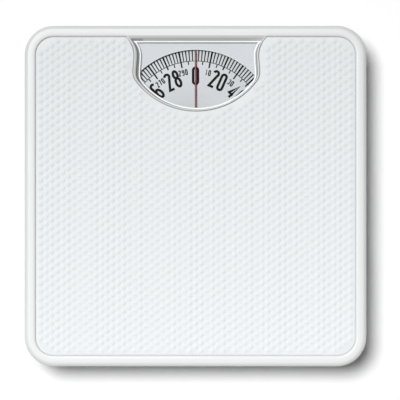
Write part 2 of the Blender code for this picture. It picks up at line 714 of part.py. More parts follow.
def make_bell_crank():
    half = CRANK_SWING / 2
    rear = (CRANK_REAR_ARM * math.cos(half), CRANK_REAR_ARM * math.sin(half))
    up = (-CRANK_UP_ARM * math.sin(half), CRANK_UP_ARM * math.cos(half))
    place = dict(body="bell_crank", lie=True)
    crank = add_piece(
        "bell_crank", flat_mesh(circle(2.4), -2.0, 2.0), "brass", origin=(0, CRANK_Y, CRANK_Z), **place
    )
    join(crank, flat_mesh(capsule(0, 0, *rear, 1.1, 0.55), -1.5, 1.5))
    join(crank, rod_mesh(0.8, -1.4, 1.4, 12, *rear))
    join(crank, flat_mesh(capsule(0, 0, *up, 2.0, 1.4), -1.4, 1.4))
    join(crank, rod_mesh(0.8, 0.5, 4.7, 12, *up))
    cut(crank, rod_mesh(1.0 + GAP, -4, 4, 12))
    # the return spring coils around the pin beside the crank
    spring = coil_mesh(1.9, 0.4, 0.9, 2.0, 10, lead=[(1.9, 6.5, 0.0)])
    add_piece("crank_spring", spring, "spring_steel", origin=(-3.35, CRANK_Y, CRANK_Z), **place)


def make_rack():
    pitch = 2 * math.pi * PINION_PITCH / PINION_TEETH
    half = TOOTH_SHARE * pitch / 2
    travel = 2 * math.pi * PINION_PITCH
    face = PINION_PITCH + TOOTH_IN
    back = face + 1.4
    first = -math.ceil((travel + 1.5 * pitch) / pitch)
    teeth = []
    for k in range(first, 2):
        middle = (k + 0.5) * pitch
        for offset, out in ((-half * 1.5, 0.0), (-half * 0.55, 1.0), (half * 0.55, 1.0), (half * 1.5, 0.0)):
            teeth.append((face - out * (TOOTH_IN + TOOTH_OUT), middle + offset))
    hook = CRANK_Y - CRANK_UP_ARM * math.sin(CRANK_SWING / 2) - DIAL_Y
    front = first * pitch - 1
    bar = [(back, front), (back, hook), (face, hook)] + teeth[::-1] + [(face, front)]
    rack = add_piece("rack", flat_mesh(bar, RACK_Z0, RACK_Z1), "brass", body="rack", origin=(0, DIAL_Y, 0))
    low = CRANK_Z + CRANK_UP_ARM * math.cos(CRANK_SWING / 2)
    high = CRANK_Z + CRANK_UP_ARM
    join(rack, box_mesh(face, hook - 3.4, low - 3.2, back, hook + 2.3, high + 3.0))
    cut(rack, box_mesh(face - 2, hook - 1.2, low - 1.2, back + 2, hook + 1.2, high + 1.2))


def make_dial():
    middle = (0, DIAL_Y, 0)
    disc_top = DIAL_BOTTOM + DIAL_THICK
    disc = flat_mesh(circle(DIAL_RADIUS, steps=72), DIAL_BOTTOM, disc_top, [circle(1.3, steps=12)])
    add_piece("dial_disc", disc, "dial_print", body="dial", origin=middle)
    hub_top, hub_bottom = DIAL_BOTTOM - GAP, 33.4
    bore = SHAFT_RADIUS + GAP
    profile = [(bore, hub_top), (9.0, hub_top), (9.0, hub_top - 1.2), (3.6, hub_top - 1.6)]
    profile += [(3.2, hub_bottom), (bore, hub_bottom)]
    turned_piece("dial_hub", profile, "grey_plastic", 18, body="dial", origin=middle)
    shaft = [(0, 38.6), (0.5, 38.6), (SHAFT_RADIUS, 38.0), (SHAFT_RADIUS, 7.0)]
    shaft += [(0.2, FLOOR + 0.4), (0, FLOOR + 0.4)]
    turned_piece("dial_shaft", shaft, "bright_steel", 12, body="dial", origin=middle)
    teeth = gear_outline(PINION_TEETH, PINION_PITCH)
    pinion = flat_mesh(teeth, RACK_Z0 - 0.4, RACK_Z1 + 0.4, [circle(1.15, steps=12)])
    add_piece("pinion", pinion, "brass", body="dial", origin=middle)


# ---------------------------------------------------------------- build


def smooth_round_pieces():
    for obj in PARTS.objects:
        if obj.type == "MESH":
            obj.data.shade_smooth()
            obj.data.set_sharp_from_angle(angle=math.radians(35))


clear_scene()
PARTS = new_collection(PART_NAME)
CUTTERS = new_collection("cutters")
MATERIALS = {name: make_material(name, *look) for name, look in FINISHES.items()}
BODIES = {}
add_body("platform", (0, 0, 0))
for lever_name, (lever_start, _) in lever_axes()[0].items():
    add_body(lever_name, (*lever_start, PIN_Z))
add_body("calibration", (0, SPRING_Y, CAL_TOP))
add_body("spring_yoke", (0, SPRING_Y, YOKE_Z0))
add_body("zero_wheel", (0, SCREW_Y, WHEEL_Z0))
add_body("bell_crank", (0, CRANK_Y, CRANK_Z))
add_body("rack", (0, DIAL_Y, RACK_Z0))
add_body("dial", (0, DIAL_Y, DIAL_BOTTOM))

make_cover()
make_mat()
make_window()
make_platform_plate()
make_levers()
make_tray()
make_feet()
make_dial_bracket()
make_spring_bridge()
make_crank_bracket()
make_calibration()
make_spring_and_yoke()
make_zero_wheel()
make_bell_crank()
make_rack()
make_dial()
smooth_round_pieces()
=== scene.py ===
"""The look of a mechanical dial platform scale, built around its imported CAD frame.

The cover, mat, window, dial, tray, feet, spring and zero wheel are finer pieces that stand for their CAD
nodes; the other nodes keep their shape and get procedural materials. Sizes are in millimetres and turn
into metres where a mesh is made. +Y is the dial end, and the frame's floor is Z = 0.
"""

import math

import bmesh
import bpy
import numpy as np
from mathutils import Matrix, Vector
from mathutils.geometry import delaunay_2d_cdt


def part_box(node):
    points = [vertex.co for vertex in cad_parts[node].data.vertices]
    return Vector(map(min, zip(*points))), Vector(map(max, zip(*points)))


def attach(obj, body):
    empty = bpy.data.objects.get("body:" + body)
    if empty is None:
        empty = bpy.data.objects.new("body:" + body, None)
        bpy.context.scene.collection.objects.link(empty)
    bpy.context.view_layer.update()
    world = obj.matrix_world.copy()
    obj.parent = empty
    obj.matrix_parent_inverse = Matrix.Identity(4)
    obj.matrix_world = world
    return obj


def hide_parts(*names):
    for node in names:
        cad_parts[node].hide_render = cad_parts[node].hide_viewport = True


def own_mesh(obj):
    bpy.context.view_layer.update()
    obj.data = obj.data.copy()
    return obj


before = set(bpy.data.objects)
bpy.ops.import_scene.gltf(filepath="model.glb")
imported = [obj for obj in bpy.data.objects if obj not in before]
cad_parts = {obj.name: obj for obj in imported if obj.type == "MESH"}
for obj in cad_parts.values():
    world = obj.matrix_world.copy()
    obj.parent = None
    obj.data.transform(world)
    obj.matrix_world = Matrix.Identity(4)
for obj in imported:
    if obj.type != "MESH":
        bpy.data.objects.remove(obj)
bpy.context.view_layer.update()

MM = 0.001


def node_box(node):
    low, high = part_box(node)
    return np.array(low) / MM, np.array(high) / MM


def centre_of(node):
    """The middle of a node's box, seen from above."""
    return sum(node_box(node))[:2] / 2


# ---------------------------------------------------------------- sizes

COVER_LOW, COVER_HIGH = node_box("platform_cover")
MAT_LOW, MAT_HIGH = node_box("platform_mat")
LENS_LOW, LENS_HIGH = node_box("dial_lens")
MASK_LOW, MASK_HIGH = node_box("window_mask")
INDEX_LOW, INDEX_HIGH = node_box("index_line")
DISC_LOW, DISC_HIGH = node_box("dial_disc")
TRAY_LOW, TRAY_HIGH = node_box("base_tray")

GAP = 0.3
HALF_X, HALF_Y = COVER_HIGH[0], COVER_HIGH[1]
COVER_CORNER = 23.5
COVER_WALL = 2.5
EDGE_ROUND = 3.4
DRAFT = 0.3
RIM_WIDTH = HALF_X - MAT_HIGH[0] - GAP
RECESS_CORNER = 14.0
SHEET_BOTTOM = LENS_HIGH[2] + GAP
LIP_WIDTH = 1.0
OFF_EDGE = 1 + 1e-9  # scales a loop by a hair, so that its points don't sit exactly on its own edges
# window outlines, as well_loop() reads them: the well's upper and lower edge, and the lens
NECK_Y = 110.0
SHOULDER = 10.0
WELL_TOP = dict(waist=47.5, bulge=0.8, ring=57.9, front=67.6, rear=124.8, tip=53.8, shift=0.7)
WELL_FOOT = dict(waist=45.2, bulge=0.8, ring=56.3, front=67.9, rear=121.3, tip=50.0, shift=1.5)
LENS_EDGE = dict(waist=49.4, bulge=0.9, ring=60.0, front=66.6, rear=124.0, tip=52.0, shift=0.0)
FOOT_Z = SHEET_BOTTOM + 0.25
BEZEL_WIDTH = 1.2
CORNERS = ("front_left", "front_right", "rear_left", "rear_right")
BOSS_RADIUS = 4.0

# the mat's domes: two interleaved grids at this pitch
DOME_RADIUS = 2.35
DOME_HEIGHT = 0.64
DOME_PITCH = (8.65, 6.2)

DIAL_Y = (DISC_LOW[1] + DISC_HIGH[1]) / 2
DIAL_RADIUS = DISC_HIGH[0]
POUND = math.radians(1.2)
CAPACITY = 300
MASK_ARC = 63.6


# ---------------------------------------------------------------- outlines


def arc(x, y, radius, start, end, steps):
    angles = np.radians(np.linspace(start, end, steps + 1))
    return np.column_stack((x + radius * np.cos(angles), y + radius * np.sin(angles)))


def circle(radius, x=0.0, y=0.0, steps=48):
    return arc(x, y, radius, 0, 360, steps)[:-1]


def round_rectangle(half_x, half_y, corner, arc_steps=14, side_steps=24):
    """A rectangle with round corners, with as many points whatever its size."""
    points = []
    corners = ((1, -1, -90), (1, 1, 0), (-1, 1, 90), (-1, -1, 180))
    for k, (sx, sy, start) in enumerate(corners):
        bend = arc(sx * (half_x - corner), sy * (half_y - corner), corner, start, start + 90, arc_steps)
        nx, ny, turn = corners[(k + 1) % 4]
        after = arc(nx * (half_x - corner), ny * (half_y - corner), corner, turn, turn, 0)[0]
        share = np.linspace(0, 1, side_steps + 1)[1:-1, None]
        points += [bend, bend[-1] * (1 - share) + after * share]
    return np.vstack(points)


def inset_rectangle(half_x, half_y, corner, inset, **steps):
    return round_rectangle(half_x - inset, half_y - inset, corner - inset, **steps)


def well_loop(waist, bulge, ring, front, rear, tip, shift, grow=0.0, beyond=0.0):
    """The dial window: a straight rear edge, flared ends, a waist, round shoulders and a round front."""
    neck_y, shoulder = NECK_Y, SHOULDER + grow
    rise, out = rear - neck_y, tip - waist
    flare = (rise**2 + out**2) / (2 * out)
    end = math.degrees(math.asin(rise / flare))
    side = arc(waist + flare, neck_y, flare - grow, 180 - end, 180, 12)
    ring_y, wide, reach = front + ring, waist + bulge + grow, ring + grow
    shoulder_y = ring_y - math.sqrt((reach - shoulder) ** 2 - (wide - shoulder) ** 2)
    share = np.linspace(0, 1, 7)[1:-1]
    swell = waist + grow + bulge * share**2 * (3 - 2 * share)
    side = np.vstack((side, np.column_stack((swell, neck_y + (shoulder_y - neck_y) * share))))
    turn = math.degrees(math.atan2(shoulder_y - ring_y, wide - shoulder))
    side = np.vstack((side, arc(wide - shoulder, shoulder_y, shoulder, 0, turn, 8)))
    side = np.vstack((side, arc(0.0, ring_y, reach, turn, -90, 28)[1:]))
    side = np.vstack(([side[0][0], rear + beyond + 1e-4], side))
    other = side[:-1][::-1] * (-1, 1)
    span = np.linspace(-1, 1, 42)[1:-1, None]
    across = np.hstack((span * side[0][0], np.full_like(span, side[0][1])))
    return np.vstack((side, other, across)) + (shift, 0.0)


def between(first, last, share):
    return {key: first[key] + (last[key] - first[key]) * share for key in first}


# ---------------------------------------------------------------- distances and fills


def edge_distance(points, loop):
    """Distance from each point to the loop, positive inside it."""
    start, end = loop, np.roll(loop, -1, axis=0)
    run = end - start
    length2 = np.maximum((run**2).sum(1), 1e-12)
    best = np.full(len(points), 1e9)
    inside = np.zeros(len(points), bool)
    for a, b, r, l2 in zip(start, end, run, length2):
        t = np.clip(((points - a) @ r) / l2, 0, 1)
        near = a + t[:, None] * r
        best = np.minimum(best, np.hypot(*(points - near).T))
        crosses = (a[1] > points[:, 1]) != (b[1] > points[:, 1])
        if r[1]:
            inside ^= crosses & (points[:, 0] < a[0] + r[0] * (points[:, 1] - a[1]) / r[1])
    return np.where(inside, best, -best)


def fill(loops, points=None):
    """Triangles over everything inside the outermost loop, with every loop kept as edges."""
    verts, edges = [], []
    for loop in loops:
        base = len(verts)
        verts += [Vector(p) for p in loop]
        edges += [(base + k, base + (k + 1) % len(loop)) for k in range(len(loop))]
    if points is not None:
        verts += [Vector(p) for p in points]
    out = delaunay_2d_cdt(verts, edges, [], 1, 1e-6)
    return np.array([tuple(v) for v in out[0]]), np.array(out[2])


def keep_where(flat, triangles, test):
    """The triangles whose middles pass the test, and the points they use."""
    triangles = triangles[test(flat[triangles].mean(axis=1))]
    used, inverse = np.unique(triangles, return_inverse=True)
    return flat[used], inverse.reshape(triangles.shape)


# ---------------------------------------------------------------- pieces


class Shell:
    """A mesh gathered from lofts and fills, and closed by merging the points they share."""

    def __init__(self):
        self.verts, self.faces, self.count = [], [], 0

    def add(self, verts, faces):
        self.verts.append(np.asarray(verts, float))
        self.faces += [tuple(int(i) + self.count for i in f) for f in faces]
        self.count += len(verts)

    def loft(self, loops, closed=False):
        """Skin over loops of equally many points; closed joins the last loop to the first."""
        n = len(loops[0])
        pairs = len(loops) if closed else len(loops) - 1
        faces = []
        for k in range(pairs):
            a, b = k * n, ((k + 1) % len(loops)) * n
            faces += [(a + i, a + (i + 1) % n, b + (i + 1) % n, b + i) for i in range(n)]
        self.add(np.vstack(loops), faces)

    def cap(self, loop):
        self.add(loop, [tuple(range(len(loop)))])

    def mesh(self, name, sharp=35.0, merge=2e-7):
        mesh = bpy.data.meshes.new(name)
        mesh.from_pydata([tuple(v) for v in np.vstack(self.verts) * MM], [], self.faces)
        work = bmesh.new()
        work.from_mesh(mesh)
        bmesh.ops.remove_doubles(work, verts=work.verts, dist=merge)
        bmesh.ops.dissolve_degenerate(work, dist=merge, edges=work.edges)
        bmesh.ops.recalc_face_normals(work, faces=work.faces)
        work.to_mesh(mesh)
        work.free()
        mesh.shade_smooth()
        mesh.set_sharp_from_angle(angle=math.radians(sharp))
        return mesh


def raised(loop, z):
    return np.column_stack((loop, np.full(len(loop), z) if np.isscalar(z) else z))


def place(name, mesh, finish, body, stands_for=()):
    obj = bpy.data.objects.new(name, mesh)
    bpy.context.scene.collection.objects.link(obj)
    mesh.materials.clear()
    mesh.materials.append(FINISHES[finish])
    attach(obj, body)
    if stands_for:
        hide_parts(*stands_for)
    return obj


def turned(profile, steps=64, x=0.0, y=0.0):
    """Loops around Z for each radius and height of a profile."""
    ring = circle(1.0, steps=steps)
    return [raised(ring * r + (x, y), z) for r, z in profile]


def closed_turned(profile, steps=64, x=0.0, y=0.0):
    shell = Shell()
    loops = turned(profile, steps, x, y)
    shell.loft(loops)
    shell.cap(loops[0])
    shell.cap(loops[-1])
    return shell


def covered(points, polygons):
    """Which points lie in at least one of the convex polygons."""
    found = np.zeros(len(points), bool)
    for polygon in polygons:
        run = np.roll(polygon, -1, axis=0) - polygon
        offset = points[:, None] - polygon[None]
        side = run[:, 0] * offset[:, :, 1] - run[:, 1] * offset[:, :, 0]
        found |= (side >= 0).all(1) | (side <= 0).all(1)
    return found


def flat_print(polygons, z0, z1):
    """Overlapping convex shapes joined into one thin layer of ink."""
    verts, faces = [], []
    for polygon in polygons:
        base = len(verts)
        verts += [Vector(p) for p in polygon]
        faces.append(list(range(base, base + len(polygon))))
    out = delaunay_2d_cdt(verts, [], faces, 1, 1e-6)
    flat, triangles = np.array([tuple(v) for v in out[0]]), np.array(out[2])
    flat, triangles = keep_where(flat, triangles, lambda middles: covered(middles, polygons))
    work = bmesh.new()
    points = [work.verts.new((x * MM, y * MM, z0 * MM)) for x, y in flat]
    for triangle in triangles:
        work.faces.new([points[i] for i in triangle])
    grown = bmesh.ops.extrude_face_region(work, geom=list(work.faces))
    top = [e for e in grown["geom"] if isinstance(e, bmesh.types.BMVert)]
    bmesh.ops.translate(work, verts=top, vec=(0, 0, (z1 - z0) * MM))
    bmesh.ops.recalc_face_normals(work, faces=work.faces)
    mesh = bpy.data.meshes.new("print")
    work.to_mesh(mesh)
    work.free()
    return mesh


# ---------------------------------------------------------------- materials


def ramp(nodes, links, source, low, high, first=0.0, last=1.0):
    """A value that runs from first to last while the source runs from low to high."""
    node = nodes.new("ShaderNodeMapRange")
    for socket, value in (("From Min", low), ("From Max", high), ("To Min", first), ("To Max", last)):
        node.inputs[socket].default_value = value
    links.new(source, node.inputs["Value"])
    return node.outputs["Result"]


def soiled(nodes, links, coords, result, low, high, soft, share):
    """Painted shade: darken what lies inside a box of the object's space, with soft sides."""
    split = nodes.new("ShaderNodeSeparateXYZ")
    links.new(coords.outputs["Object"], split.inputs["Vector"])
    factor = None
    for axis, start, end, blur in zip("XYZ", low, high, soft):
        for a, b in ((start - blur, start), (end + blur, end)):
            part = ramp(nodes, links, split.outputs[axis], a * MM, b * MM)
            if factor:
                product = nodes.new("ShaderNodeMath")
                product.operation = "MULTIPLY"
                links.new(factor, product.inputs[0])
                links.new(part, product.inputs[1])
                part = product.outputs["Value"]
            factor = part
    dark = nodes.new("ShaderNodeMix")
    dark.data_type = "RGBA"
    dark.blend_type = "MULTIPLY"
    dark.inputs["B"].default_value = (1 - share, 1 - share, 1 - share, 1)
    links.new(factor, dark.inputs["Factor"])
    links.new(result, dark.inputs["A"])
    return dark.outputs["Result"]


def finish(
    colour,
    roughness,
    metallic=0.0,
    tone=0.04,
    patch=22.0,
    stretch=(1, 1, 1),
    swing=0.08,
    grain=1600.0,
    depth=0.00002,
    painted_shade=(),
    alpha=None,
    **sockets,
):
    """A procedural surface: clouded colour and roughness over a fine grain, with painted shade darkening it
    in the given boxes.

    Patch and grain are noise scales per metre, and depth is the grain's height in metres.
    """
    material = bpy.data.materials.new("finish")
    material.use_nodes = True
    nodes, links = material.node_tree.nodes, material.node_tree.links
    shader = nodes["Principled BSDF"]
    shader.inputs["Metallic"].default_value = metallic
    for socket, value in sockets.items():
        shader.inputs[socket.replace("_", " ").title().replace("Ior", "IOR")].default_value = value
    coords = nodes.new("ShaderNodeTexCoord")
    mapping = nodes.new("ShaderNodeMapping")
    mapping.inputs["Scale"].default_value = stretch
    links.new(coords.outputs["Object"], mapping.inputs["Vector"])
    cloud = nodes.new("ShaderNodeTexNoise")
    cloud.inputs["Scale"].default_value = patch
    cloud.inputs["Detail"].default_value = 5.0
    links.new(mapping.outputs["Vector"], cloud.inputs["Vector"])
    shade = nodes.new("ShaderNodeMix")
    shade.data_type = "RGBA"
    shade.inputs["A"].default_value = (*[c * (1 - tone) for c in colour], 1)
    shade.inputs["B"].default_value = (*[min(1, c * (1 + tone)) for c in colour], 1)
    links.new(cloud.outputs["Fac"], shade.inputs["Factor"])
    result = shade.outputs["Result"]
    for region in painted_shade:
        result = soiled(nodes, links, coords, result, *region)
    links.new(result, shader.inputs["Base Color"])
    gloss = nodes.new("ShaderNodeMapRange")
    gloss.inputs["To Min"].default_value = max(0.0, roughness - swing)
    gloss.inputs["To Max"].default_value = min(1.0, roughness + swing)
    links.new(cloud.outputs["Fac"], gloss.inputs["Value"])
    links.new(gloss.outputs["Result"], shader.inputs["Roughness"])
    if depth:
        texture = nodes.new("ShaderNodeTexNoise")
        texture.inputs["Scale"].default_value = grain
        texture.inputs["Detail"].default_value = 2.0
        bump = nodes.new("ShaderNodeBump")
        bump.inputs["Distance"].default_value = depth
        links.new(mapping.outputs["Vector"], texture.inputs["Vector"])
        links.new(texture.outputs["Fac"], bump.inputs["Height"])
        links.new(bump.outputs["Normal"], shader.inputs["Normal"])
    if alpha:
        facing = nodes.new("ShaderNodeLayerWeight")
        facing.inputs["Blend"].default_value = 0.25
        veil = nodes.new("ShaderNodeMapRange")
        veil.inputs["To Min"].default_value, veil.inputs["To Max"].default_value = alpha
        links.new(facing.outputs["Fresnel"], veil.inputs["Value"])
        links.new(veil.outputs["Result"], shader.inputs["Alpha"])
    return material


BRUSHED = (1, 14, 1)
FAR = 400.0
# boxes of painted shade in the object's space: low corner, high corner, softness, share of the colour lost
# painted shade on the well's left wall, which the key light leaves lit
CHEEK_SHADE = ((-60.0, 60.0, 44.25), (-42.0, 122.0, 46.3), (1.5, 3.0, 0.3), 0.44)
# painted shade on the floor of the groove between the mat and the window's lip
GROOVE_PAINTED_SHADE = ((-56.0, 62.0, 46.0), (58.0, 119.0, 46.6), (1.0, 2.0, 0.3), 0.55)
# painted shade on the mat's edge where it slopes down into the groove round it
MAT_EDGE_PAINTED_SHADE = ((-FAR, -FAR, 0.0), (FAR, FAR, 46.72), (1.0, 1.0, 0.15), 0.3)
# painted shade: the cover and the mat grow a little darker towards the rear, the dial end
REAR_PAINTED_SHADE = ((-FAR, 110.0, 0.0), (FAR, FAR, 60.0), (1.0, 240.0, 1.0), 0.13)
FINISHES = {
    "cover": finish(
        (0.76, 0.775, 0.775),
        0.4,
        tone=0.012,
        grain=1100,
        depth=0.000012,
        # painted shade: the well's left wall, the groove round the window, and darker towards the rear
        painted_shade=(CHEEK_SHADE, GROOVE_PAINTED_SHADE, REAR_PAINTED_SHADE),
    ),
    "mat": finish(
        (0.80, 0.83, 0.845),
        0.6,
        tone=0.012,
        patch=35,
        grain=2400,
        depth=0.00002,
        # painted shade: the mat's sloping edge in its groove, and darker towards the rear
        painted_shade=(MAT_EDGE_PAINTED_SHADE, REAR_PAINTED_SHADE),
    ),
    "lens": finish((0.05, 0.06, 0.06), 0.06, tone=0.01, swing=0.02, depth=0, alpha=(0.02, 0.6), ior=1.49),
    "mask": finish((0.70, 0.73, 0.765), 0.6, tone=0.015, patch=60, grain=3000, depth=0.00001),
    # a brighter white than the cover: painted highlight for the light caught along the lens's foot and the
    # mask's arc edge
    "bead": finish((0.93, 0.95, 0.955), 0.35, tone=0.01, depth=0.00001),
    "index": finish((0.42, 0.035, 0.05), 0.4, tone=0.05, patch=120, depth=0.00001),
    "dial": finish((0.64, 0.672, 0.695), 0.5, tone=0.015, patch=90, grain=2600, depth=0.000008),
    "ink": finish((0.004, 0.004, 0.005), 0.6, tone=0.3, patch=160, depth=0.000008, specular_ior_level=0.1),
    "enamel": finish((0.72, 0.74, 0.75), 0.32, tone=0.03, grain=420, depth=0.00005, coat_weight=0.3),
    "zinc": finish((0.47, 0.48, 0.5), 0.42, 0.9, tone=0.16, patch=160, swing=0.14, grain=900, depth=0.00002),
    "bright": finish(
        (0.62, 0.62, 0.61), 0.26, 1.0, tone=0.08, patch=60, stretch=BRUSHED, swing=0.1, grain=700
    ),
    "spring": finish((0.2, 0.21, 0.23), 0.38, 0.9, tone=0.2, patch=140, swing=0.12, grain=1500),
    "brass": finish((0.62, 0.44, 0.17), 0.33, 1.0, tone=0.14, patch=110, swing=0.14, grain=1300),
    "rubber": finish((0.028, 0.028, 0.03), 0.82, tone=0.25, patch=90, swing=0.1, grain=1900, depth=0.00006),
    "nylon": finish((0.25, 0.26, 0.27), 0.52, tone=0.08, patch=70, grain=2000, depth=0.00003),
    "floor": finish((0.925, 0.925, 0.925), 0.7, tone=0.004, patch=3, grain=900, depth=0.00002),
}
SLOT_FINISH = {
    "white_plastic": "cover",
    "white_mat": "mat",
    "clear_plastic": "lens",
    "pale_print": "mask",
    "red_print": "index",
    "dial_print": "dial",
    "painted_steel": "enamel",
    "grey_steel": "zinc",
    "bright_steel": "bright",
    "spring_steel": "spring",
    "brass": "brass",
    "rubber": "rubber",
    "grey_plastic": "nylon",
}


# ---------------------------------------------------------------- cover


def outer_loop(inset):
    return inset_rectangle(HALF_X, HALF_Y, COVER_CORNER, inset)


def recess_loop(inset):
    return inset_rectangle(HALF_X - RIM_WIDTH, HALF_Y - RIM_WIDTH, RECESS_CORNER, inset)


def rim_profile():
    """Insets and heights over the rim's rounded edge, and its slight crown."""
    angles = np.radians(np.linspace(0, 90, 9))
    insets = DRAFT + EDGE_ROUND * (1 - np.cos(angles))
    heights = COVER_HIGH[2] - EDGE_ROUND + EDGE_ROUND * np.sin(angles)
    return np.append(insets, 6.0), np.append(heights, COVER_HIGH[2])


# distance and height: into the recess from its edge, and out from the well's edge over its lip
BEVEL = np.array([(-1.1, 48.0), (-0.75, 47.93), (-0.3, 47.6), (0.0, 47.2), (0.08, 46.3)])
LIP = np.array([(0.0, 47.35), (0.3, 47.7), (0.7, 47.7), (1.0, 47.35), (1.06, 46.3)])


def cover_height(flat):
    insets, heights = rim_profile()
    z = np.interp(edge_distance(flat, outer_loop(0.0)), insets, heights)
    z = np.minimum(z, np.interp(edge_distance(flat, recess_loop(0.0)), *BEVEL.T))
    from_well = -edge_distance(flat, well_loop(**WELL_TOP))
    return np.where(from_well < LIP[-1, 0], np.maximum(z, np.interp(from_well, *LIP.T)), z)


def make_cover():
    shell = Shell()
    insets, heights = rim_profile()
    loops = [outer_loop(d) for d in insets] + [recess_loop(d) for d in BEVEL[:, 0]]
    loops += [well_loop(**WELL_TOP, grow=d, beyond=d) for d in LIP[:, 0]]
    flat, triangles = fill(loops)
    hole = well_loop(**WELL_TOP)
    flat, triangles = keep_where(flat, triangles, lambda middles: edge_distance(middles, hole) < 0)
    shell.add(raised(flat, cover_height(flat)), triangles)

    # the well: a shallow slope, a steep wall and a drop to the lens
    top_z = cover_height(hole * OFF_EDGE)
    steps = ((0.0, 0.0), (0.08, 0.03), (0.36, 0.24), (0.44, 0.34), (0.92, 0.93), (0.98, 0.99), (1.0, 1.0))
    wall = []
    for share, drop in steps:
        outline = between(WELL_TOP, WELL_FOOT, share)
        wall.append(raised(well_loop(**outline), top_z + (FOOT_Z - top_z) * drop))
    inner = well_loop(**WELL_FOOT)
    wall.append(raised(inner, SHEET_BOTTOM))
    shell.loft(wall)

    # the skirt, outside and inside
    bottom = COVER_LOW[2]
    skirt = [(DRAFT, heights[0]), (DRAFT * 0.5, (heights[0] + bottom) / 2)]
    skirt += [(0.0, bottom + 0.5), (0.15, bottom + 0.12), (0.5, bottom)]
    skirt += [(COVER_WALL - 0.5, bottom), (COVER_WALL - 0.15, bottom + 0.12), (COVER_WALL, bottom + 0.5)]
    skirt += [(COVER_WALL + 0.2, SHEET_BOTTOM - 2.0), (COVER_WALL + 0.8, SHEET_BOTTOM - 0.6)]
    skirt += [(COVER_WALL + 2.2, SHEET_BOTTOM)]
    shell.loft([raised(outer_loop(d), z) for d, z in skirt])

    # the sheet's underside, with a boss for each screw
    centres = [centre_of(f"platform_screw_{corner}") for corner in CORNERS]
    loops = [outer_loop(COVER_WALL + 2.2), inner]
    for centre in centres:
        loops += [circle(BOSS_RADIUS + 0.15, *centre), circle(BOSS_RADIUS, *centre)]
    flat, triangles = fill(loops)
    flat, triangles = keep_where(flat, triangles, lambda middles: edge_distance(middles, inner) < 0)
    z = np.full(len(flat), SHEET_BOTTOM)
    boss_z = node_box("platform_plate")[0][2] - 0.2
    for centre in centres:
        z[np.hypot(*(flat - centre).T) < BOSS_RADIUS + 0.05] = boss_z
    shell.add(raised(flat, z), triangles)
    mesh = shell.mesh("cover_shell", 40)
    place("cover_shell", mesh, "cover", "platform", ["platform_cover"])


# ---------------------------------------------------------------- mat


def make_mat():
    half_x, half_y = MAT_HIGH[0], MAT_HIGH[1]
    base = MAT_HIGH[2] - DOME_HEIGHT - 0.02
    corner = RECESS_CORNER - GAP

    def edge_loop(inset):
        return inset_rectangle(half_x, half_y, corner, inset)

    cut = LIP_WIDTH + 2 * GAP
    window = well_loop(**WELL_TOP)

    def inward(flat):
        return np.minimum(edge_distance(flat, edge_loop(0.0)), -edge_distance(flat, window) - cut)

    px, py = DOME_PITCH
    nx, ny = int(half_x / px) + 1, int(half_y / py) + 1
    grid = [(i * px, j * py) for i in range(-nx, nx + 1) for j in range(-ny, ny + 1)]
    grid += [(x + px / 2, y + py / 2) for x, y in grid]
    centres = np.array(grid)
    centres = centres[inward(centres) > DOME_RADIUS + 0.7]
    rings = [np.zeros((1, 2))]
    for share, count in ((0.38, 6), (0.72, 10), (1.0, 12)):
        rings.append(circle(DOME_RADIUS * share, steps=count))
    pattern = np.vstack(rings)
    radius = np.hypot(*pattern.T) / DOME_RADIUS
    swell = DOME_HEIGHT * (1 - radius**2) ** 2 * (1 + 0.9 * radius**2)
    points = (centres[:, None] + pattern[None]).reshape(-1, 2)
    heights = {}
    for index, z in enumerate(np.tile(swell, len(centres))):
        heights[tuple(np.round(points[index], 3))] = z

    loops = [edge_loop(d) for d in (0.0, 0.12, 0.4)]
    loops += [well_loop(**WELL_TOP, grow=cut + d, beyond=8.0) for d in (0.0, 0.12, 0.4)]
    flat, triangles = fill(loops, points)
    opening = loops[3]

    def on_mat(middles):
        return (edge_distance(middles, loops[0]) > 0) & (edge_distance(middles, opening) < 0)

    flat, triangles = keep_where(flat, triangles, on_mat)
    away = np.minimum(edge_distance(flat, loops[0]), -edge_distance(flat, opening))
    z = np.interp(away, (0.0, 0.12, 0.4), (base - 0.28, base - 0.08, base))
    z += [heights.get(key, 0.0) for key in map(tuple, np.round(flat, 3))]
    mesh = bpy.data.meshes.new("mat")
    mesh.from_pydata([tuple(v) for v in raised(flat, z) * MM], [], triangles.tolist())
    work = bmesh.new()
    work.from_mesh(mesh)
    edges = [e for e in work.edges if e.is_boundary]
    wall = bmesh.ops.extrude_edge_only(work, edges=edges)["geom"]
    for vert in (e for e in wall if isinstance(e, bmesh.types.BMVert)):
        vert.co.z = MAT_LOW[2] * MM
    rim = [e for e in wall if isinstance(e, bmesh.types.BMEdge)]
    bmesh.ops.triangle_fill(work, use_beauty=False, edges=rim)
    bmesh.ops.recalc_face_normals(work, faces=work.faces)
    work.to_mesh(mesh)
    work.free()
    mesh.shade_smooth()
    mesh.set_sharp_from_angle(angle=math.radians(50))
    place("mat_embossed", mesh, "mat", "platform", ["platform_mat"])


# ---------------------------------------------------------------- window


def slab(loop_of, low, high, chamfer, sharp=35):
    """A plate whose outline comes from loop_of(inset), with chamfered edges."""
    shell = Shell()
    levels = ((chamfer, low), (0.0, low + chamfer), (0.0, high - chamfer), (chamfer, high))
    loops = [raised(loop_of(d), z) for d, z in levels]
    shell.loft(loops)
    for loop in (loops[0], loops[-1]):
        flat, triangles = fill([loop[:, :2]])
        shell.add(raised(flat, loop[0, 2]), triangles)
    return shell.mesh("slab", sharp)


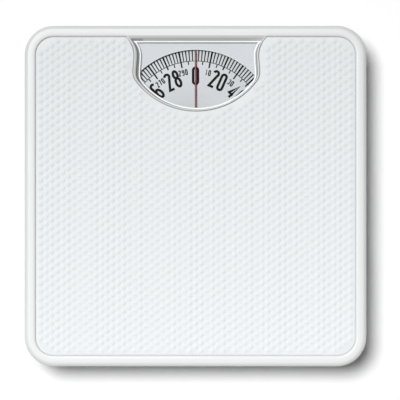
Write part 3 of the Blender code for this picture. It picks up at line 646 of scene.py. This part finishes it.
def make_window():
    lens = slab(lambda d: well_loop(**LENS_EDGE, grow=-d, beyond=-d), LENS_LOW[2], LENS_HIGH[2], 0.35)
    place("lens_clear", lens, "lens", "platform", ["dial_lens"])

    # the bezel: a low raised ring round the lens, lit by the key light, in the brighter white that paints a
    # highlight along the lens edge
    base, crown = LENS_HIGH[2] + 0.04, FOOT_Z + 0.02
    section = [(0.06, base), (0.06, crown - 0.15), (0.2, crown - 0.02), (0.45, crown), (0.75, crown - 0.05)]
    section += [(BEZEL_WIDTH - 0.15, base + 0.22), (BEZEL_WIDTH, base + 0.08), (BEZEL_WIDTH, base)]
    bezel = Shell()
    bezel.loft([raised(well_loop(**WELL_FOOT, grow=-d, beyond=-d), z) for d, z in section], closed=True)
    place("lens_bezel", bezel.mesh("bezel", 50), "bead", "platform")

    half = MASK_HIGH[0]
    edge = math.degrees(math.acos(half / MASK_ARC))

    def mask_loop(inset):
        front = arc(0, DIAL_Y, MASK_ARC + inset, 180 - edge, edge, 90)
        front[:, 0] = np.clip(front[:, 0], -half + inset, half - inset)
        rear = MASK_HIGH[1] - inset
        return np.vstack((front, [(half - inset, rear), (-half + inset, rear)]))

    mask = slab(mask_loop, MASK_LOW[2], MASK_HIGH[2], 0.12)
    place("mask_plate", mask, "mask", "platform", ["window_mask"])
    # the edge bead: a raised bead along the mask's arc, in the brighter white that paints a highlight on the
    # plate's cut edge
    top = MASK_HIGH[2]
    section = ((0.1, top - 0.02), (0.12, top + 0.12), (0.3, top + 0.2), (0.5, top + 0.12), (0.55, top - 0.02))
    bead = Shell()
    rows = [raised(arc(0, DIAL_Y, MASK_ARC + d, 180 - edge + 1, edge - 1, 120), z) for d, z in section]
    n, count = len(rows[0]), len(rows)
    faces = []
    for k in range(count):
        a, b = k * n, ((k + 1) % count) * n
        faces += [(a + i, a + i + 1, b + i + 1, b + i) for i in range(n - 1)]
    faces += [tuple(k * n for k in range(count)), tuple(k * n + n - 1 for k in range(count))]
    bead.add(np.vstack(rows), faces)
    place("mask_edge_bead", bead.mesh("bead", 30), "bead", "platform")

    # the reading line: a flat thread with a rounded back and pointed ends
    half_width = INDEX_HIGH[0]
    low, high = INDEX_LOW[2], LENS_LOW[2] - 0.02
    ends = ((INDEX_LOW[1], 0.25), (INDEX_LOW[1] + 0.6, 0.9), (INDEX_LOW[1] + 1.5, 1.0))
    ends += ((INDEX_HIGH[1] - 1.5, 1.0), (INDEX_HIGH[1] - 0.6, 0.9), (INDEX_HIGH[1], 0.25))
    crown = [(-1.0, 0.0), (-0.95, 0.55), (-0.6, 0.9), (0.0, 1.0), (0.6, 0.9), (0.95, 0.55), (1.0, 0.0)]
    line = Shell()
    sections = [
        np.array([(x * half_width * share, y, low + z * (high - low)) for x, z in crown]) for y, share in ends
    ]
    line.loft(sections)
    line.cap(sections[0])
    line.cap(sections[-1])
    place("reading_line", line.mesh("line", 50), "index", "platform", ["index_line"])


# ---------------------------------------------------------------- dial

INK_LOW = DISC_HIGH[2] - 0.01
INK_HIGH = DISC_HIGH[2] + 0.05
LINE_RADIUS = 55.0
TICK_END = 65.0
FIVES_START, TENS_START, TWENTIES_START = 52.2, 50.5, 52.4
NUMERAL = dict(radius=43.4, height=14.6, stroke=2.0, pitch=6.7)
NUMERAL_WIDTH, ZERO_WIDTH = 5.7, 5.8
SMALL_NUMERAL = dict(radius=46.8, width=2.1, height=4.8, stroke=0.85, pitch=2.6)


def stroke_quads(path, width):
    """A stroke of even width along a path, as one quad to a step; a path that ends where it starts closes."""
    path = np.asarray(path, float)
    run = np.diff(path, axis=0)
    run /= np.hypot(*run.T)[:, None]
    normals = np.column_stack((-run[:, 1], run[:, 0]))
    before, after = np.vstack((normals[:1], normals)), np.vstack((normals, normals[-1:]))
    if np.allclose(path[0], path[-1]):
        before[0], after[-1] = normals[-1], normals[0]
    sums = before + after
    joints = sums / np.maximum((sums**2).sum(1), 1.4)[:, None] * 2
    left, right = path + joints * width / 2, path - joints * width / 2
    return [np.array([left[k], right[k], right[k + 1], left[k + 1]]) for k in range(len(path) - 1)]


def digit_paths(digit, w, h):
    """Centre lines of a narrow upright digit in a cell of width w and height h, around its middle."""
    r = w / 2
    top, low = h / 2, -h / 2

    def bow(x, y, radius, start, end, squash=1.0):
        points = arc(0, 0, radius, start, end, 14)
        return points * (1, squash) + (x, y)

    if digit == "0":
        loop = np.vstack((bow(0, top - r, r, 0, 180), bow(0, low + r, r, 180, 360)))
        return [np.vstack((loop, loop[:1]))]
    if digit == "1":
        return [[(-r * 0.55, top - r * 0.9), (r * 0.25, top), (r * 0.25, low)]]
    if digit == "2":
        tail = [(-r, low), (r * 1.02, low)]
        return [np.vstack((bow(0, top - r, r, 175, -25), [(r * 0.62, top - r - h * 0.16)], tail))]
    if digit == "3":
        q = (h / 2 + 0.1) / 2
        upper = bow(-r * 0.05, top - q, r, 150, -80, q / r)
        lower = bow(-r * 0.05, low + q, r, 80, -150, q / r)
        return [np.vstack((upper, lower))]
    if digit == "4":
        return [[(r * 0.45, low), (r * 0.45, top), (-r, low + h * 0.24), (r * 1.1, low + h * 0.24)]]
    if digit == "5":
        q = h * 0.29
        bowl = bow(0, low + q, r, 125, -150, q / r)
        return [np.vstack(([(r * 0.95, top), (-r * 0.75, top), (-r * 0.85, top - h * 0.36)], bowl))]
    if digit == "6":
        q = h * 0.28
        loop = bow(0, low + q, r, 180, 540, q / r)
        neck = bow(0, top - r, r, 25, 180)
        return [np.vstack((neck, loop[:1])), loop]
    if digit == "7":
        return [[(-r, top), (r, top), (-r * 0.25, low)]]
    if digit == "8":
        q, p = h * 0.23, h * 0.27
        upper = bow(0, top - q, r * 0.9, -90, 270, q / (r * 0.9))
        lower = bow(0, low + p, r, -90, 270, p / r)
        return [upper, lower]
    q = h * 0.28
    loop = bow(0, top - q, r, 0, 360, q / r)
    neck = bow(0, low + r, r, 360, 205)
    return [loop, np.vstack((loop[:1], neck))]


def around_dial(points, pounds, radius=0.0):
    """Turn a shape drawn upright over the dial's middle to where that many pounds are printed."""
    angle = -pounds * POUND
    c, s = math.cos(angle), math.sin(angle)
    points = np.asarray(points) + (0, radius)
    return points @ np.array([[c, s], [-s, c]]) + (0, DIAL_Y)


def numeral(text, pounds, radius, width, height, stroke, pitch):
    shapes = []
    for k, digit in enumerate(text):
        middle = (k - (len(text) - 1) / 2) * pitch
        for path in digit_paths(digit, width - stroke, height - stroke):
            for quad in stroke_quads(path, stroke):
                shapes.append(around_dial(quad + (middle, 0), pounds, radius))
    return shapes


def tick(pounds, inner, outer, inner_width, outer_width):
    a, b = inner_width / 2, outer_width / 2
    return around_dial([(-a, inner), (a, inner), (b, outer), (-b, outer)], pounds)


def make_dial():
    shell = Shell()
    top, low, radius = DISC_HIGH[2], DISC_LOW[2], DIAL_RADIUS
    profile = [(1.3, top - 0.05), (1.4, top), (radius - 0.3, top), (radius - 0.08, top - 0.08)]
    profile += [(radius, top - 0.3), (radius - 0.08, low + 0.08), (radius - 0.3, low)]
    profile += [(1.4, low), (1.3, low + 0.05)]
    shell.loft(turned(profile, 180, 0, DIAL_Y), closed=True)
    place("dial_face", shell.mesh("dial_face", 40), "dial", "dial", ["dial_disc"])

    marks = []
    for pounds in range(0, CAPACITY, 2):
        if pounds % 10:
            marks.append(tick(pounds, LINE_RADIUS, TICK_END, 0.75, 1.15))
    for pounds in range(0, CAPACITY, 5):
        if pounds % 10:
            marks.append(tick(pounds, FIVES_START, LINE_RADIUS, 0.85, 0.85))
    for pounds in range(0, CAPACITY, 10):
        inner = TENS_START if pounds % 20 else TWENTIES_START
        marks.append(tick(pounds, inner, TICK_END, 1.1, 1.6))
    marks += stroke_quads(arc(0, DIAL_Y, LINE_RADIUS, 0, 360, 240), 0.5)
    ring_mesh = flat_print(marks, INK_LOW, INK_HIGH)
    place("dial_graduations", ring_mesh, "ink", "dial")

    numerals = []
    for pounds in range(0, CAPACITY, 20):
        value = pounds if pounds < 100 else pounds // 10
        width = NUMERAL_WIDTH if pounds else ZERO_WIDTH
        numerals += numeral(str(value), pounds, width=width, **NUMERAL)
    for pounds in range(10, CAPACITY, 20):
        numerals += numeral(str(pounds), pounds, **SMALL_NUMERAL)
    numeral_mesh = flat_print(numerals, INK_LOW, INK_HIGH)
    place("dial_numerals", numeral_mesh, "ink", "dial")


# ---------------------------------------------------------------- tray, feet, wheel and spring

TRAY_CORNER = 14.0
TRAY_SHEET = 1.0
BEND = 2.0
BEAD_HEIGHT = 1.2
BEAD_HALF = 3.2
FOOT_HOLE = 2.9
RIVET_HOLE = 1.9
SLOT_CORNER = 1.5


def bead_paths():
    """Stiffening beads pressed into the tray: a ring and four ribs, clear of what stands on the floor."""
    ring = inset_rectangle(84.0, 99.0, 16.0, 0.0, arc_steps=10, side_steps=6)
    paths = [np.vstack((ring, ring[:1]))]
    for x in (-58.0, -32.0, 32.0, 58.0):
        paths.append(np.array([(x, -84.0), (x, 8.0)]))
    return paths


def path_distance(points, path):
    best = np.full(len(points), 1e9)
    for a, b in zip(path, path[1:]):
        run = b - a
        t = np.clip(((points - a) @ run) / (run @ run), 0, 1)
        best = np.minimum(best, np.hypot(*(points - (a + t[:, None] * run)).T))
    return best


def pressing(flat):
    """Height of the pressed beads above the tray's flat bottom."""
    z = np.zeros(len(flat))
    for path in bead_paths():
        share = np.clip(path_distance(flat, path) / BEAD_HALF, 0, 1)
        z = np.maximum(z, BEAD_HEIGHT * (0.5 + 0.5 * np.cos(math.pi * share)))
    return z


def bead_points():
    """Rows of points along each bead, at every offset that its section needs."""
    rows = []
    for path in bead_paths():
        for a, b in zip(path, path[1:]):
            length = np.hypot(*(b - a))
            along = np.linspace(0, 1, max(2, int(length / 3.0)), endpoint=False)[:, None]
            line = a + along * (b - a)
            side = np.array([-(b - a)[1], (b - a)[0]]) / length
            for offset in (-1.0, -0.66, -0.33, 0.0, 0.33, 0.66, 1.0):
                rows.append(line + side * offset * BEAD_HALF)
        if not np.allclose(path[0], path[-1]):
            for end, heading in ((path[0], 180), (path[-1], 0)):
                for share in (0.33, 0.66, 1.0):
                    rows.append(arc(*end, BEAD_HALF * share, heading, heading + 180, 8))
    return np.vstack(rows)


def make_tray():
    half_x, half_y = TRAY_HIGH[0], TRAY_HIGH[1]
    bottom, top = TRAY_LOW[2], TRAY_HIGH[2]

    def loop(inset):
        return inset_rectangle(half_x, half_y, TRAY_CORNER, inset)

    edge = BEND + TRAY_SHEET
    outside = [(edge, bottom), (BEND, bottom)]
    for angle in np.radians((22.5, 45, 67.5, 90)):
        outside.append((BEND - BEND * math.sin(angle), bottom + BEND - BEND * math.cos(angle)))
    outside += [(0.0, top - 0.7), (0.2, top - 0.2), (0.7, top), (1.2, top), (1.7, top - 0.2)]
    outside += [(1.9, top - 0.7), (1.9, top - 2.6), (1.6, top - 3.0), (TRAY_SHEET, top - 3.1)]
    floor = bottom + TRAY_SHEET
    for angle in np.radians((90, 67.5, 45, 22.5, 0)):
        reach = BEND * (1 - math.sin(angle))
        outside.append((TRAY_SHEET + reach, floor + BEND * (1 - math.cos(angle))))
    shell = Shell()
    shell.loft([raised(loop(d), z) for d, z in outside])

    holes = [circle(FOOT_HOLE, *centre_of(f"foot_{corner}"), steps=24) for corner in CORNERS]
    levers = ("long_left", "long_right", "short_left", "short_right")
    fasteners = [f"bracket_rivet_{lever}" for lever in levers]
    fasteners += [f"dial_bracket_screw_{side}" for side in ("left", "right")]
    holes += [circle(RIVET_HOLE, *centre_of(name), steps=20) for name in fasteners]
    flat, triangles = fill([loop(edge)] + holes, bead_points())

    def off_holes(middles):
        keep = np.ones(len(middles), bool)
        for hole in holes:
            keep &= edge_distance(middles, hole) < 0
        return keep

    flat, triangles = keep_where(flat, triangles, off_holes)
    height = pressing(flat)
    shell.add(raised(flat, bottom + height), triangles)
    shell.add(raised(flat, floor + height), triangles)
    for hole in holes:
        lift = pressing(hole)
        shell.loft([raised(hole, bottom + lift), raised(hole, floor + lift)])
    mesh = shell.mesh("tray_pressed", 40)
    tray = bpy.data.objects.new("tray_work", mesh)
    bpy.context.scene.collection.objects.link(tray)

    # the slot in the rear wall that the zero wheel stands in
    wheel_low, wheel_high = node_box("zero_wheel")
    reach = wheel_high[0] - 0.5
    slot_low, slot_high = wheel_low[2] - 1.2, wheel_high[2] + 1.2
    cutter_shell = Shell()
    tall = (slot_high - slot_low) / 2
    corners = round_rectangle(reach, tall, SLOT_CORNER, arc_steps=6, side_steps=3)
    across, up = corners[:, 0], corners[:, 1] + (slot_low + slot_high) / 2
    loops = []
    for y in (half_y - 4.0, half_y + 4.0):
        loops.append(np.column_stack((across, np.full(len(corners), y), up)))
    cutter_shell.loft(loops)
    cutter_shell.cap(loops[0])
    cutter_shell.cap(loops[1])
    cutter = bpy.data.objects.new("slot_cutter", cutter_shell.mesh("slot_cutter"))
    bpy.context.scene.collection.objects.link(cutter)
    cut = tray.modifiers.new("slot", "BOOLEAN")
    cut.object = cutter
    cut.operation = "DIFFERENCE"
    graph = bpy.context.evaluated_depsgraph_get()
    final = bpy.data.meshes.new_from_object(tray.evaluated_get(graph))
    for helper in (tray, cutter):
        bpy.data.objects.remove(helper)
    final.shade_smooth()
    final.set_sharp_from_angle(angle=math.radians(40))
    place("tray_pressed", final, "enamel", "base", ["base_tray"])


def make_feet():
    for corner in CORNERS:
        name = f"foot_{corner}"
        high = node_box(name)[1]
        x, y = centre_of(name)
        r, top = high[0] - x, TRAY_LOW[2] - GAP
        # the sole with its rings, the side with its groove, then the stud through the tray
        profile = [(0.01, 0.5), (2.6, 0.5), (2.9, 0.35), (3.1, 0.0), (5.0, 0.0), (5.2, 0.45), (5.9, 0.45)]
        profile += [(6.1, 0.0), (7.6, 0.0), (7.8, 0.45), (8.5, 0.45), (8.7, 0.0), (r - 0.8, 0.0)]
        profile += [(r - 0.25, 0.25), (r, 0.8), (r, 1.6), (r - 0.35, 1.8), (r - 0.35, 2.1), (r, 2.3)]
        profile += [(r - 0.1, top - 0.5), (r - 0.6, top)]
        profile += [(2.5, top), (2.5, TRAY_LOW[2] + TRAY_SHEET + GAP), (3.8, TRAY_LOW[2] + TRAY_SHEET + GAP)]
        profile += [(3.6, high[2] - 1.9), (1.8, high[2] - 0.1), (1.4, high[2]), (0.01, high[2])]
        shell = closed_turned(profile, 56, x, y)
        place(f"rubber_{name}", shell.mesh(name, 30), "rubber", "base", [name])


def make_wheel():
    low, high = node_box("zero_wheel")
    x, y = centre_of("zero_wheel")
    r = high[0] - x
    grips, per = 40, 6
    angles = np.linspace(0, 2 * math.pi, grips * per, endpoint=False)
    groove = (0.5 - 0.5 * np.cos(grips * angles)) ** 2

    def loop(radius, depth, z):
        reach = radius - depth * groove
        outline = np.column_stack((x + reach * np.cos(angles), y + reach * np.sin(angles)))
        return raised(outline, z)

    z0, z1 = low[2], high[2]
    levels = [(2.1, 0, z0), (9.0, 0, z0), (9.3, 0, z0 + 0.5), (10.6, 0, z0 + 0.5), (10.9, 0, z0)]
    levels += [(r - 0.7, 0.3, z0), (r - 0.1, 0.75, z0 + 0.6), (r, 0.8, z0 + 1.2), (r, 0.8, z1 - 1.2)]
    levels += [(r - 0.1, 0.75, z1 - 0.6), (r - 0.7, 0.3, z1), (10.9, 0, z1), (10.6, 0, z1 - 0.5)]
    levels += [(5.2, 0, z1 - 0.5), (4.9, 0, z1), (2.1, 0, z1)]
    shell = Shell()
    shell.loft([loop(*level) for level in levels], closed=True)
    place("wheel_knurled", shell.mesh("wheel", 40), "nylon", "zero_wheel", ["zero_wheel"])


def coil_mesh(x, y, low, high, mean, wire, turns, sides=12, per_turn=40):
    """An upright coil whose first and last turns lie flat and close."""
    count = int(turns * per_turn)
    t = np.linspace(0, 1, count + 1)
    rise = np.clip((t - 0.1) / 0.8, 0, 1)
    rise = rise * rise * (3 - 2 * rise) * 0.35 + rise * 0.65
    angle = 2 * math.pi * turns * t
    centre = np.column_stack(
        (x + mean * np.cos(angle), y + mean * np.sin(angle), low + wire / 2 + (high - low - wire) * rise)
    )
    shell = Shell()
    loops = []
    phi = np.linspace(0, 2 * math.pi, sides, endpoint=False)
    out, up = wire / 2 * np.cos(phi), wire / 2 * np.sin(phi)
    for (cx, cy, cz), a in zip(centre, angle):
        loops.append(np.column_stack((cx + out * math.cos(a), cy + out * math.sin(a), cz + up)))
    shell.loft(loops)
    shell.cap(loops[0])
    shell.cap(loops[-1])
    return shell.mesh("coil", 40)


SPRING_PLAY = 0.4  # the coil's top stops short of the draw bolt's cap, so that the yoke can lift it
COIL = dict(mean=8.5, wire=2.2, turns=3.0)


def make_spring():
    """The main spring, round the draw bolt and riding on the spring yoke; in the scale it shortens as the
    calibration plate pulls the bolt down.
    """
    low, high = node_box("main_spring")
    y = centre_of("draw_bolt")[1]
    top = high[2] - SPRING_PLAY
    mesh = coil_mesh(0.0, y, low[2], top, **COIL)
    spring = place("spring_coil", mesh, "spring", "spring_yoke", ["main_spring"])
    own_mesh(spring)


# ---------------------------------------------------------------- finishes, floor, light and camera

FLOOR_REACH = 3000.0
# lights and camera are placed in metres
WORLD_STRENGTH = 0.11
KEY_STRENGTH, KEY_SPREAD, KEY_TILT = 3.02, math.radians(20.0), math.tan(math.radians(11.5))
FILL_POWER, FILL_SIZE, FILL_PLACE = 0.18, 0.35, (0.0, -0.5, 0.36)
CAMERA_OFFSET, CAMERA_DISTANCE, CAMERA_FIELD = (0.0035, -0.0031), 2.6, 0.3125
SENSOR = 36.0


def finish_frame():
    """Give every CAD node its slot's procedural material."""
    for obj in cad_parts.values():
        for holder in obj.material_slots:
            name = holder.material.name.split(".")[0] if holder.material else ""
            if name in SLOT_FINISH:
                holder.material = FINISHES[SLOT_FINISH[name]]


def make_stage():
    """A pale floor, soft light from the rear left, a weak fill in front, and the camera overhead."""
    shell = Shell()
    r = FLOOR_REACH
    shell.add([(-r, -r, 0), (r, -r, 0), (r, r, 0), (-r, r, 0)], [(0, 1, 2, 3)])
    floor = bpy.data.objects.new("floor", shell.mesh("floor"))
    bpy.context.scene.collection.objects.link(floor)
    floor.data.materials.append(FINISHES["floor"])

    scene = bpy.context.scene
    scene.view_settings.view_transform = "Standard"
    world = bpy.data.worlds.new("studio")
    world.use_nodes = True
    background = world.node_tree.nodes["Background"]
    background.inputs["Color"].default_value = (1.0, 1.0, 1.0, 1.0)
    background.inputs["Strength"].default_value = WORLD_STRENGTH
    scene.world = world

    key = bpy.data.lights.new("key", "SUN")
    key.energy = KEY_STRENGTH
    key.angle = KEY_SPREAD
    lamp = bpy.data.objects.new("key", key)
    direction = Vector((KEY_TILT, -KEY_TILT, -1.0))
    lamp.rotation_euler = direction.to_track_quat("-Z", "Y").to_euler()
    scene.collection.objects.link(lamp)

    soft = bpy.data.lights.new("fill", "AREA")
    soft.size = FILL_SIZE
    soft.energy = FILL_POWER
    low_lamp = bpy.data.objects.new("fill", soft)
    low_lamp.location = FILL_PLACE
    low_lamp.rotation_euler = Vector((0.0, 0.42, -0.36)).to_track_quat("-Z", "Y").to_euler()
    scene.collection.objects.link(low_lamp)

    camera = bpy.data.objects.new("camera", bpy.data.cameras.new("camera"))
    camera.data.sensor_width = SENSOR
    camera.data.lens = SENSOR * CAMERA_DISTANCE / CAMERA_FIELD
    camera.data.clip_end = 50.0
    camera.location = (*CAMERA_OFFSET, COVER_HIGH[2] * MM + CAMERA_DISTANCE)
    scene.collection.objects.link(camera)
    scene.camera = camera


for finish_name, made in FINISHES.items():
    made.name = finish_name
finish_frame()
make_cover()
make_mat()
make_window()
make_dial()
make_tray()
make_feet()
make_wheel()
make_spring()
make_stage()
